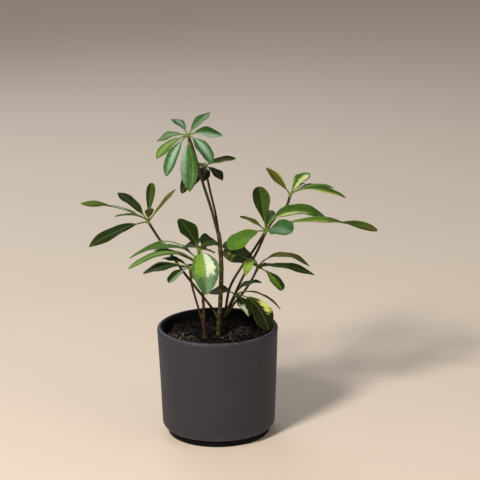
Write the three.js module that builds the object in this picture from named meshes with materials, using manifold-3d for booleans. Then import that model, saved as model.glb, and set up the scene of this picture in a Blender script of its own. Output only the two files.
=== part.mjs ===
// Potted umbrella plant: ten palmate leaves on three stems, standing in soil in a round ceramic pot.
// Millimetres, +Z up. The origin is the centre of the pot's flat foot, on the surface that it stands on.
// +X is to the right and +Y away from the viewer, as the plant is seen from its front.
import * as THREE from 'three';
import { mergeVertices } from 'three/addons/utils/BufferGeometryUtils.js';
import Module from 'manifold-3d';

const wasm = await Module();
wasm.setup();

// Clear space between two pieces that rest on each other
const SEAT_GAP = 0.3;

// Pot: a near straight cylinder with a rounded lip, on a short recessed foot
const POT_HEIGHT = 119;
const RIM_RADIUS = 65;
const BODY_BASE_RADIUS = 61;
const BODY_BASE_HEIGHT = 12.5;
const WALL = 6;
const FLOOR_THICKNESS = 8;
const FOOT_RADIUS = 55;
const FOOT_HEIGHT = 7.5;
const FOOT_SHADOW = 1;
const EDGE_START = -60;
const LIP_RADIUS = WALL / 2;
const INNER_CORNER = 4;
const ROUND_SEGMENTS = 56;

// Soil: fills the pot to a little below the rim, with a crumbly top
const SOIL_LEVEL = 107;
const SOIL_RINGS = 8;
const HOLE_BOTTOM = 72;
const HOLE_SIDES = 12;
// Clumps on the soil: x, y, radius, height
const SOIL_CLUMPS = [
  [-42, -6, 11, 4],
  [-30, -12, 9, 2.5],
  [12, -14, 9, 3],
  [27, 2, 9, 7.5],
  [36, 18, 12, 2.5],
  [4, 34, 14, 3],
  [-24, 30, 12, 2],
  [14, -38, 13, 2.5],
  [-18, -40, 12, 2],
];

// Stems: each is a shoot from the soil that carries the stalks of its leaves
const STEM_SIDES = 8;
const STALK_SIDES = 6;
const STALK_STEP = 12;
const STEM_END_SWELL = 1.12;
// The knob at the top of a stalk, from which the leaflets spread
const KNOB_RADIUS = 2.1;
const KNOB_LENGTH = 3.4;
const NECK_RADIUS = 1.6;
const BALL_SIDES = 6;
const BALL_ROWS = 4;

// Leaflets: a thin round stalk that widens into a blade
const LEAFLET_STALK_RADIUS = 0.85;
const LEAFLET_STALK_SHARE = 0.17;
const LEAFLET_STALK_END = 0.12;
const BLADE_STATIONS = [0, 0.12, 0.28, 0.46, 0.64, 0.8, 0.93, 1];
const BLADE_SKEW = 1.35;
const BLADE_FULLNESS = 0.7;
const BLADE_TIP_WIDTH = 0.9;
const EDGE_THICKNESS = 0.8;
const RIB_THICKNESS = 1.5;
const FOLD = 0.16;
const WAVE_SHARE = 0.055;
const WAVE_COUNT = 1.6;
const WAVE_SIDE_SHIFT = 2.2;
const WAVE_LEAF_SHIFT = 1.7;
const BOW_SKEW = 0.8;
const TWIST_SKEW = 3;

const LEAF_GREEN = '#33592a';

// Each stem's foot is its place in the soil. Its route, and those of the leaf stalks that it carries, are
// points in millimetres. A stalk ends at the hub of its leaf.
const STEMS = [
  {
    name: 'stem_main',
    foot: [1, 0],
    radius: 2.4,
    colour: '#4a4526',
    route: [[1.5, 0, 120], [3.5, 0, 147], [5, 0, 185], [3, 0, 222]],
    stalks: [
      {
        leaf: 'leaf_top',
        radius: 1.5,
        route: [[3, 0, 216], [-4, -3, 246], [-14, -9, 282], [-24, -14, 321]],
      },
      {
        leaf: 'leaf_top_back',
        radius: 1.2,
        route: [[3, 0, 218], [0, 4, 240], [-6, 12, 266]],
      },
      {
        leaf: 'leaf_left',
        radius: 1.4,
        route: [[1, 1, 127], [-6, 5, 137], [-15, 10, 148], [-35, 20, 172], [-48, 22, 191], [-60, 22, 208]],
      },
    ],
  },
  {
    name: 'stem_left',
    foot: [-14, -9],
    radius: 1.6,
    colour: '#503b26',
    route: [[-14.5, -9, 118], [-14.5, -9, 140], [-15, -10, 152]],
    stalks: [
      {
        leaf: 'leaf_mid_left',
        radius: 1.3,
        route: [[-15, -10, 148], [-15.5, -13, 163], [-17, -14.5, 180]],
      },
      {
        leaf: 'leaf_inner_left',
        radius: 1.3,
        route: [[-14.5, -8.5, 141], [-15, -3, 158]],
      },
      {
        leaf: 'leaf_lower_left',
        radius: 1.2,
        route: [[-14.5, -9, 121], [-20, -9, 141], [-23.5, -9, 154], [-27, -8, 169]],
      },
    ],
  },
  {
    name: 'stem_right',
    foot: [5, 9],
    radius: 2.1,
    colour: '#4f4a28',
    route: [[6, 9, 119], [8, 8.5, 127], [11, 8, 134]],
    stalks: [
      {
        leaf: 'leaf_right',
        radius: 1.4,
        route: [[10, 8, 132], [20, 7.5, 153], [30, 5.5, 175], [44, 0, 202]],
      },
      {
        leaf: 'leaf_upper_right',
        radius: 1.4,
        route: [[8, 8.5, 128], [14, 7, 159], [26, 3, 182], [36, 3, 196], [61, 10, 232], [76, 13.5, 248]],
      },
      {
        leaf: 'leaf_mid_right',
        radius: 1.3,
        route: [[8, 8, 124], [19, 6, 142], [30, 5, 156], [38, 5, 169]],
      },
      {
        leaf: 'leaf_lower_right',
        radius: 1.2,
        route: [[6.5, 8, 121], [13, -1, 139]],
      },
    ],
  },
];

// Leaves: the hub is the point from which the leaflets spread. Each leaflet's row holds its bearing in
// degrees (0 right, 90 back, 180 left, 270 front), its rise above the level, its length, the width of its
// blade, how far it bows upwards as a share of its length, and its roll to its own right in degrees. Some
// rows add how far the tip rolls on from there, a skew that sets where the blade is widest, and a fullness
// that makes its tip rounder the lower it is.
const LEAVES = [
  {
    name: 'leaf_top',
    hub: [-28, -15, 331],
    leaflets: [
      [121, 20, 35, 11, 0.12, 0, 0, 1.1],
      [56, 23, 45, 13, 0.05, 0, 0, 1.05, 0.85],
      [20, -5, 38, 15, 0.1, 32, 0, 1.15],
      [309, -31, 45, 18, 0.12, 0, 0, 1.2],
      [272, -47, 66, 18, 0.12, 0],
      [236, -41, 53, 15, 0.12, 0],
      [201, -31, 41, 13, 0.1, -20],
      [155, -14, 37, 14, 0.1, -24],
    ],
  },
  {
    name: 'leaf_top_back',
    hub: [-11, 20, 290],
    leaflets: [
      [25, 7, 37, 10, 0.06, 25, 0, 1.1],
      [319, -26, 27, 14, 0.1, 0, 0, 1.2],
      [268, -22, 27, 13, 0.1, 0, 0, 1.4],
      [236, -38, 27, 11, 0.1, 0],
      [199, -46, 38, 16, 0.1, -25],
      [150, -20, 30, 11, 0.1, 0],
      [100, -14, 32, 11, 0.1, 0],
    ],
  },
  {
    name: 'leaf_left',
    hub: [-72.5, 20, 229.5],
    leaflets: [
      [174, 15, 75, 10, 0.09, -8, 140, 1.05, 0.6],
      [204, 16, 39, 11, 0.13, 8],
      [139, 30, 51, 17, 0.06, 0, 0, 1.3, 0.8],
      [83, 49, 47, 10, 0.04, 0, 0, 1.9, 0.5],
      [34, 41, 47, 7, 0.02, 0],
      [283, 52, 24, 10, 0.1, 0],
      [197, -18, 69, 17, 0.06, -25, 0, 1.2],
    ],
  },
  {
    name: 'leaf_mid_left',
    hub: [-18.7, -15, 208],
    leaflets: [
      [130, 41, 42, 22, 0.05, 0, 0, 1.05, 0.6],
      [58, 2, 34, 20, 0.12, 30, 0, 1.15, 0.6],
      [283, -50, 52, 29, 0.3, 0, 0, 0.95],
      [131, -3, 24, 14, 0.1, -20],
      [100, 2, 37, 14, 0.12, 0],
      [40, -20, 23, 10, 0.08, 0],
      [84, -16, 36, 13, 0.1, 0],
    ],
  },
  {
    name: 'leaf_inner_left',
    hub: [-17, 2, 182],
    leaflets: [
      [185, 11, 77, 16, 0.27, -10, 0, 0.75, 0.7],
      [197, 5.5, 80, 13, 0.22, -10],
      [167, 19, 54, 13, 0.12, 0],
      [112, -12, 36, 13, 0.1, 0],
      [40, -12, 33, 13, 0.1, 0],
      [318, -30, 24, 10, 0.1, 0],
    ],
  },
  {
    name: 'leaf_lower_left',
    hub: [-28.5, -8, 186],
    leaflets: [
      [185, -5, 50, 16, 0.1, -14, 0, 1.1],
      [223, -18, 32, 14, 0.1, 0, 0, 1.6, 0.6],
      [105, -15, 28, 12, 0.05, 0],
      [150, 10, 34, 13, 0.1, 0],
      [290, -20, 24, 10, 0.1, 0],
    ],
  },
  {
    name: 'leaf_right',
    hub: [52.7, -5, 224],
    leaflets: [
      [105, 59, 50, 19, 0.04, 0, 0, 1.9, 0.5],
      [150, 22, 34, 10, 0.08, 0],
      [212, -15, 48, 22, 0.12, -20, 0, 1.6, 0.55],
      [305, 11, 46, 24, 0.1, 30, 0, 1.15, 0.5],
      [12, 10, 66, 20, 0.24, 22, 0, 1.05],
      [80, 25, 35, 15, 0.1, 0],
      [355, 1, 118, 18, 0.1, 16, -95, 1.45, 0.6],
    ],
  },
  {
    name: 'leaf_upper_right',
    hub: [79.5, 15, 258.5],
    leaflets: [
      [140, 38, 41, 11, 0.03, -15, 0, 1.1],
      [48, 32, 35, 17, 0.06, 0, 0, 1.6, 0.5],
      [0, -4, 59, 14, 0.14, 12],
      [24, 2, 52, 14, 0.12, 0],
      [66, 6, 38, 12, 0.1, 0],
    ],
  },
  {
    name: 'leaf_mid_right',
    hub: [44, 5, 181],
    leaflets: [
      [8, -1, 56, 16, 0.24, 8],
      [355, -7, 61, 15, 0.09, 12, 0, 1.05],
      [316, -28, 39, 16, 0.12, 0, 0, 2.3, 0.5],
      [153, 17, 44, 22, 0.1, -38, 0, 1.1, 0.55],
      [142, 23, 50, 17, 0.1, -30, 0, 1.9, 0.5],
      [243, 0, 31, 11, 0.4, 0],
      [85, -17, 38, 13, 0.1, 0],
      [48, -12, 36, 13, 0.1, 0],
    ],
  },
  {
    name: 'leaf_lower_right',
    hub: [20, -12, 156],
    leaflets: [
      [353, -17, 50, 12, 0.2, -15],
      [333, -42, 51, 23, 0.2, 30, 0, 1.5, 0.6],
      [297, -28, 33, 21, 0.15, -18, 0, 1.0, 0.7],
      [15, 22, 31, 14, 0.2, 0],
      [124, -11, 51, 14, 0.08, -35],
    ],
  },
];

// A closed three.js geometry as a solid that can be joined and cut
function toSolid(geometry) {
  const bare = geometry.clone();
  bare.deleteAttribute('normal');
  bare.deleteAttribute('uv');
  const welded = mergeVertices(bare, 1e-4);
  return new wasm.Manifold(new wasm.Mesh({
    numProp: 3,
    vertProperties: new Float32Array(welded.attributes.position.array),
    triVerts: new Uint32Array(welded.index.array),
  }));
}

function toGeometry(solid) {
  const mesh = solid.getMesh();
  const geometry = new THREE.BufferGeometry();
  geometry.setAttribute('position', new THREE.BufferAttribute(new Float32Array(mesh.vertProperties), 3));
  geometry.setIndex(new THREE.BufferAttribute(new Uint32Array(mesh.triVerts), 1));
  geometry.computeVertexNormals();
  return geometry;
}

function joined(solids) {
  return solids.reduce((all, solid) => all.add(solid));
}

function piece(name, geometry, colour, roughness) {
  const material = new THREE.MeshStandardMaterial({ color: colour, roughness, metalness: 0 });
  const mesh = new THREE.Mesh(geometry, material);
  mesh.name = name;
  return mesh;
}

// Radius of the pot's outer wall at a height
function potRadius(z) {
  const share = (z - BODY_BASE_HEIGHT) / (POT_HEIGHT - BODY_BASE_HEIGHT);
  return BODY_BASE_RADIUS + (RIM_RADIUS - BODY_BASE_RADIUS) * share;
}

// Points of a round stretch in a lathe profile, between two angles in degrees
function roundPoints(x, z, radius, from, to, count) {
  const points = [];
  for (let i = 0; i <= count; i += 1) {
    const angle = THREE.MathUtils.degToRad(from + ((to - from) * i) / count);
    points.push(new THREE.Vector2(x + radius * Math.cos(angle), z + radius * Math.sin(angle)));
  }
  return points;
}

// A lathe turns about Y, so its result is stood up along Z
function turned(profile) {
  return new THREE.LatheGeometry(profile, ROUND_SEGMENTS).rotateX(Math.PI / 2);
}

function pot() {
  const edge = BODY_BASE_HEIGHT - FOOT_HEIGHT;
  const lipHeight = POT_HEIGHT - LIP_RADIUS;
  const corner = potRadius(FLOOR_THICKNESS) - WALL - INNER_CORNER;
  const profile = [
    new THREE.Vector2(0, 0),
    new THREE.Vector2(FOOT_RADIUS, 0),
    new THREE.Vector2(FOOT_RADIUS, FOOT_HEIGHT - FOOT_SHADOW),
    ...roundPoints(BODY_BASE_RADIUS - edge, BODY_BASE_HEIGHT, edge, EDGE_START, 0, 4),
    ...roundPoints(RIM_RADIUS - LIP_RADIUS, lipHeight, LIP_RADIUS, 0, 180, 6),
    ...roundPoints(corner, FLOOR_THICKNESS + INNER_CORNER, INNER_CORNER, 0, -90, 2),
    new THREE.Vector2(0, FLOOR_THICKNESS),
  ];
  return piece('pot', turned(profile), '#35353e', 0.75);
}

function soilHeight(x, y) {
  const ripple = 0.9 * Math.sin(0.31 * x + 0.6) * Math.cos(0.27 * y);
  const grain = 0.5 * Math.sin(0.71 * x - 0.43 * y);
  const clumps = SOIL_CLUMPS.reduce(
    (sum, [cx, cy, r, h]) => sum + h * Math.exp(-((x - cx) ** 2 + (y - cy) ** 2) / (r * r)),
    0,
  );
  return SOIL_LEVEL + ripple + grain + clumps;
}

// The soil's solid: a plug that fits the pot's inside, with each point of its top lifted to the soil's height
function soilPlug() {
  const top = [];
  const topRadius = potRadius(SOIL_LEVEL) - WALL - SEAT_GAP;
  for (let ring = 0; ring <= SOIL_RINGS; ring += 1) {
    top.push(new THREE.Vector2((topRadius * (SOIL_RINGS - ring)) / SOIL_RINGS, SOIL_LEVEL));
  }
  const base = FLOOR_THICKNESS + SEAT_GAP;
  const corner = potRadius(base) - WALL - INNER_CORNER - SEAT_GAP;
  const profile = [
    new THREE.Vector2(0, base),
    ...roundPoints(corner, base + INNER_CORNER, INNER_CORNER, -90, 0, 2),
    ...top,
  ];
  const geometry = turned(profile);
  const position = geometry.attributes.position;
  for (let i = 0; i < position.count; i += 1) {
    if (position.getZ(i) > SOIL_LEVEL - SEAT_GAP) {
      const x = position.getX(i);
      const y = position.getY(i);
      const inward = Math.min(1, (topRadius - Math.hypot(x, y)) / LIP_RADIUS);
      position.setZ(i, SOIL_LEVEL + (soilHeight(x, y) - SOIL_LEVEL) * inward);
    }
  }
  return toSolid(geometry);
}

function hole([x, y], radius) {
  const height = POT_HEIGHT - HOLE_BOTTOM;
  const bore = new THREE.CylinderGeometry(radius, radius, height, HOLE_SIDES).rotateX(Math.PI / 2);
  return toSolid(bore.translate(x, y, HOLE_BOTTOM + height / 2));
}

function soil() {
  const bored = STEMS.reduce(
    (plug, stem) => plug.subtract(hole(stem.foot, stem.radius + 2 * SEAT_GAP)),
    soilPlug(),
  );
  return piece('soil', toGeometry(bored), '#1d1917', 1);
}

// A round rod along a smooth curve through the given points
function rod(points, radius, sides, step) {
  const curve = new THREE.CatmullRomCurve3(points, false, 'centripetal');
  const section = new THREE.Shape();
  for (let i = 0; i <= sides; i += 1) {
    const angle = (2 * Math.PI * i) / sides;
    const draw = i === 0 ? 'moveTo' : 'lineTo';
    section[draw](radius * Math.cos(angle), radius * Math.sin(angle));
  }
  const steps = Math.max(1, Math.round(curve.getLength() / step));
  return toSolid(new THREE.ExtrudeGeometry(section, { steps, bevelEnabled: false, extrudePath: curve }));
}

function ball(centre, radius) {
  const round = new THREE.SphereGeometry(radius, BALL_SIDES, BALL_ROWS);
  return toSolid(round.translate(centre.x, centre.y, centre.z));
}

function vectors(points) {
  return points.map(([x, y, z]) => new THREE.Vector3(x, y, z));
}

// Unit vector in which a leaf's stalk arrives at the hub
function stalkDirection(stalk, hub) {
  const last = new THREE.Vector3(...stalk.route[stalk.route.length - 1]);
  return hub.clone().sub(last).normalize();
}

function stalkRod(stalk) {
  const leaf = LEAVES.find((entry) => entry.name === stalk.leaf);
  const hub = new THREE.Vector3(...leaf.hub);
  const back = stalkDirection(stalk, hub).multiplyScalar(-(KNOB_LENGTH + SEAT_GAP));
  const points = [...vectors(stalk.route), hub.clone().add(back)];
  return rod(points, stalk.radius, STALK_SIDES, STALK_STEP);
}

function stem({ name, foot, radius, colour, route, stalks }) {
  const [x, y] = foot;
  const buried = [[x, y, HOLE_BOTTOM + SEAT_GAP], [x, y, SOIL_LEVEL - WALL], [x, y, SOIL_LEVEL + WALL]];
  const shoot = rod(vectors([...buried, ...route]), radius, STEM_SIDES, STALK_STEP);
  const top = ball(new THREE.Vector3(...route[route.length - 1]), radius * STEM_END_SWELL);
  return piece(name, toGeometry(joined([shoot, top, ...stalks.map(stalkRod)])), colour, 0.7);
}

// The six points of a leaflet's section: left, middle and right on top, then right, middle and left below
function sectionPoints(centre, [side, normal], half, rises, edge, rib) {
  const place = (across, up) => centre.clone().addScaledVector(side, across).addScaledVector(normal, up);
  return [
    place(-half, rises[0] + edge / 2),
    place(0, rib / 2),
    place(half, rises[1] + edge / 2),
    place(half, rises[1] - edge / 2),
    place(0, -rib / 2),
    place(-half, rises[0] - edge / 2),
  ];
}

// Half the width of a blade at a share of its length: narrow at its base, blunt at its tip
function halfWidth(share, width, skew, fullness) {
  const swell = Math.sin(Math.PI * share ** skew) ** fullness;
  return Math.max(BLADE_TIP_WIDTH, width * swell) / 2;
}

// The midline of a leaflet, and the side and normal of its blade, at a share of the way to its tip
function leafletSpine(hub, [bearing, rise, length, , bow, roll, twist = 0]) {
  const turn = THREE.MathUtils.degToRad(bearing);
  const lift = THREE.MathUtils.degToRad(rise);
  const up = new THREE.Vector3(0, 0, 1);
  const level = new THREE.Vector3(Math.cos(turn), Math.sin(turn), 0);
  const chord = level.clone().multiplyScalar(Math.cos(lift)).addScaledVector(up, Math.sin(lift));
  const bulge = level.clone().multiplyScalar(-Math.sin(lift)).addScaledVector(up, Math.cos(lift));
  const point = (t) => {
    const skewed = t ** BOW_SKEW;
    const height = 4 * bow * length * skewed * (1 - skewed);
    return hub.clone().addScaledVector(chord, length * t).addScaledVector(bulge, height);
  };
  const frame = (t) => {
    const tangent = point(Math.min(1, t + 0.02)).sub(point(Math.max(0, t - 0.02))).normalize();
    const degrees = roll * Math.min(1, t / LEAFLET_STALK_SHARE) + twist * t ** TWIST_SKEW;
    const side = new THREE.Vector3().crossVectors(level, up);
    side.applyAxisAngle(tangent, THREE.MathUtils.degToRad(degrees));
    return [side, new THREE.Vector3().crossVectors(side, tangent)];
  };
  return { point, frame };
}

// The six-sided sections of a leaflet from the hub to the tip
function leafletSections(hub, row, index) {
  const { point, frame } = leafletSpine(hub, row);
  const [, , , width, , , , skew = BLADE_SKEW, fullness = BLADE_FULLNESS] = row;
  const stalk = [0, LEAFLET_STALK_END].map((t) => {
    const radius = LEAFLET_STALK_RADIUS;
    return sectionPoints(point(t), frame(t), radius, [0, 0], radius, 2 * radius);
  });
  const blade = BLADE_STATIONS.map((share) => {
    const t = LEAFLET_STALK_SHARE + (1 - LEAFLET_STALK_SHARE) * share;
    const half = halfWidth(share, width, skew, fullness);
    const phase = 2 * Math.PI * WAVE_COUNT * share + WAVE_LEAF_SHIFT * index;
    const wave = 2 * half * WAVE_SHARE;
    const rises = [0, WAVE_SIDE_SHIFT].map((shift) => FOLD * half + wave * Math.sin(phase + shift));
    return sectionPoints(point(t), frame(t), half, rises, EDGE_THICKNESS, RIB_THICKNESS);
  });
  return [...stalk, ...blade];
}

// Skins the sections of a leaflet, with its top and its underside split into triangles alike
function leaflet(hub, row, index) {
  const sections = leafletSections(hub, row, index);
  const around = sections[0].length;
  const last = (sections.length - 1) * around;
  const triangles = [];
  for (let a = 0; a < last; a += 1) {
    const below = a % around >= around / 2;
    const b = a % around === around - 1 ? a + 1 - around : a + 1;
    const c = a + around;
    const d = b + around;
    triangles.push(...(below ? [a, b, d, a, d, c] : [a, b, c, b, d, c]));
  }
  for (let j = 1; j + 1 < around; j += 1) {
    triangles.push(0, j + 1, j);
    triangles.push(last, last + j, last + j + 1);
  }
  const geometry = new THREE.BufferGeometry();
  const places = sections.flat().flatMap((point) => point.toArray());
  geometry.setAttribute('position', new THREE.Float32BufferAttribute(places, 3));
  geometry.setIndex(triangles);
  return toSolid(geometry);
}

// The knob stands on the end of the leaf's stalk, a seat's gap above it
function knob(hub, direction) {
  const foot = hub.clone().addScaledVector(direction, -KNOB_LENGTH);
  const neck = rod([foot, hub], NECK_RADIUS, STALK_SIDES, KNOB_LENGTH);
  return neck.add(ball(hub, KNOB_RADIUS));
}

function leaf({ name, hub: place, leaflets }) {
  const hub = new THREE.Vector3(...place);
  const stalk = STEMS.flatMap((entry) => entry.stalks).find((entry) => entry.leaf === name);
  const blades = leaflets.map((row, index) => leaflet(hub, row, index));
  const whorl = joined([knob(hub, stalkDirection(stalk, hub)), ...blades]);
  return piece(name, toGeometry(whorl), LEAF_GREEN, 0.45);
}

const plant = new THREE.Group();
plant.add(pot(), soil());
STEMS.forEach((entry) => plant.add(stem(entry)));
LEAVES.forEach((entry) => plant.add(leaf(entry)));

export default plant;
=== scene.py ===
"""Looks of the potted umbrella plant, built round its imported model. Tables and lengths are in millimetres."""

import math

import bpy
import numpy as np
from mathutils import Matrix, Vector


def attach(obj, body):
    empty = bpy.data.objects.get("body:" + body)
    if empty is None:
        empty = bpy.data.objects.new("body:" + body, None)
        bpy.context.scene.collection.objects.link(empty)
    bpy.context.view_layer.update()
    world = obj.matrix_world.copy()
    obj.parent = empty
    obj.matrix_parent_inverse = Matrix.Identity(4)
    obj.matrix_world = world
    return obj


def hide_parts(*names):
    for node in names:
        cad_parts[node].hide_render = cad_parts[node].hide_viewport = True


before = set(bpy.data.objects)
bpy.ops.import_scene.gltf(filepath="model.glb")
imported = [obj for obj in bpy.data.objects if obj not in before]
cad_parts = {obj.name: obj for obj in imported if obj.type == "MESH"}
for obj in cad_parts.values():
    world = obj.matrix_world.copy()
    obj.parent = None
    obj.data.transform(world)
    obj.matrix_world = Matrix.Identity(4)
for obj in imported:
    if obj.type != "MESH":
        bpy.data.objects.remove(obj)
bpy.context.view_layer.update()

MM = 0.001

# The same lengths, routes and leaf rows as the part's source
POT_HEIGHT = 119
RIM_RADIUS = 65
BODY_BASE_RADIUS = 61
BODY_BASE_HEIGHT = 12.5
WALL = 6
FLOOR_THICKNESS = 8
FOOT_RADIUS = 55
FOOT_HEIGHT = 7.5
FOOT_SHADOW = 1
EDGE_START = -60
LIP_RADIUS = WALL / 2
INNER_CORNER = 4
SOIL_LEVEL = 107
HOLE_BOTTOM = 72
SEAT_GAP = 0.3
# x, y, radius and height of each clump, and the clumps whose crumbs are painted lighter, as painted light where
# light falls on them
SOIL_CLUMPS = [
    (-42, -6, 11, 4), (-30, -12, 9, 2.5), (12, -14, 9, 3), (27, 2, 9, 7.5), (36, 18, 12, 2.5),
    (4, 34, 14, 3), (-24, 30, 12, 2), (14, -38, 13, 2.5), (-18, -40, 12, 2),
]
LIT_CLUMPS = (0, 1, 2, 3)
KNOB_LENGTH = 3.4
NECK_RADIUS = 1.6
LEAFLET_STALK_RADIUS = 0.85
LEAFLET_STALK_SHARE = 0.17
BLADE_SKEW = 1.35
BLADE_FULLNESS = 0.7
BLADE_TIP_WIDTH = 0.9
FOLD = 0.16
WAVE_SHARE = 0.055
WAVE_COUNT = 1.6
WAVE_SIDE_SHIFT = 2.2
WAVE_LEAF_SHIFT = 1.7
BOW_SKEW = 0.8
TWIST_SKEW = 3

# Fineness of the visible meshes, and small forms that only they have
POT_SIDES = 160
FOOT_ROUNDING = 0.8
SHOOT_SIDES = 18
STALK_SIDES = 14
KNOB_SIDES = 16
LEAFLET_STALK_ROWS = 6
BLADE_ROWS = 34
SOIL_RINGS = 110
SOIL_SIDES = 240
SOIL_SKIRT = 20.0
# Bumps on the soil: height and cell size
SOIL_BUMPS = ((1.8, 9), (1.6, 4), (1.2, 2), (0.7, 1))
SOIL_SEED = 7
CRUMB_TRIES = 1100
CRUMB_LARGEST = 2.6
LOOSE_SHARE = 0.45
# How far a stem stays upright under and over the soil, and its ring scars, counted from its buried end
STEM_UPRIGHT = 6
FIRST_SCAR = 38
SCAR_SPACING = 9.5

# name, foot, radius, how woody it is, route of the shoot, then each stalk's leaf, radius and route
STEMS = [
    ("stem_main", (1, 0), 2.4, 0.25, [(1.5, 0, 120), (3.5, 0, 147), (5, 0, 185), (3, 0, 222)], [
        ("leaf_top", 1.5, [(3, 0, 216), (-4, -3, 246), (-14, -9, 282), (-24, -14, 321)]),
        ("leaf_top_back", 1.2, [(3, 0, 218), (0, 4, 240), (-6, 12, 266)]),
        ("leaf_left", 1.4,
         [(1, 1, 127), (-6, 5, 137), (-15, 10, 148), (-35, 20, 172), (-48, 22, 191), (-60, 22, 208)]),
    ]),
    ("stem_left", (-14, -9), 1.6, 0.9, [(-14.5, -9, 118), (-14.5, -9, 140), (-15, -10, 152)], [
        ("leaf_mid_left", 1.3, [(-15, -10, 148), (-15.5, -13, 163), (-17, -14.5, 180)]),
        ("leaf_inner_left", 1.3, [(-14.5, -8.5, 141), (-15, -3, 158)]),
        ("leaf_lower_left", 1.2, [(-14.5, -9, 121), (-20, -9, 141), (-23.5, -9, 154), (-27, -8, 169)]),
    ]),
    ("stem_right", (5, 9), 2.1, 0.4, [(6, 9, 119), (8, 8.5, 127), (11, 8, 134)], [
        ("leaf_right", 1.4, [(10, 8, 132), (20, 7.5, 153), (30, 5.5, 175), (44, 0, 202)]),
        ("leaf_upper_right", 1.4,
         [(8, 8.5, 128), (14, 7, 159), (26, 3, 182), (36, 3, 196), (61, 10, 232), (76, 13.5, 248)]),
        ("leaf_mid_right", 1.3, [(8, 8, 124), (19, 6, 142), (30, 5, 156), (38, 5, 169)]),
        ("leaf_lower_right", 1.2, [(6.5, 8, 121), (13, -1, 139)]),
    ]),
]

# Colours of a blade's green and of its pale bands, as linear light; dark and shade are painted shade, darker
# greens for leaflets that lie in shade, and the others are the blade's own greens
GREENS = {
    "mid": (0.044, 0.100, 0.013),
    "dark": (0.013, 0.026, 0.003),
    "blue": (0.029, 0.090, 0.020),
    "fresh": (0.064, 0.150, 0.013),
    "olive": (0.075, 0.080, 0.011),
    "brown": (0.038, 0.040, 0.010),
    "shade": (0.009, 0.014, 0.003),
    "sea": (0.062, 0.140, 0.050),
}
PALES = {
    "cream": (0.62, 0.70, 0.52),
    "lime": (0.54, 0.58, 0.14),
    "mint": (0.34, 0.50, 0.36),
    "butter": (0.52, 0.57, 0.24),
}
NO_BAND = (0, 0, 0)


def paint(green, fresh=NO_BAND, pale=NO_BAND, tint="lime", reach=(1.5, -1, 1.5), dry=0.0, sheen=NO_BAND):
    """How one leaflet is coloured. A band is where it starts and ends across the blade (-1 the leaflet's own
    left edge, 1 its right edge) and how strong it is. Reach is where along the blade the fresh band ends,
    and where the pale band starts and ends. Dry is how brown the tip is. Sheen is a painted bluish sheen,
    a reflection painted into the colour that also raises the gloss: where its middle is across the blade,
    where it ends along the blade and how strong it is."""
    ruddy = 0.6 if green in ("dark", "olive", "brown", "shade") else 0.1
    return {"base": GREENS[green], "fresh": fresh, "pale": pale, "paint": PALES[tint], "reach": reach,
            "state": (dry, ruddy, 0), "sheen": sheen}


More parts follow.
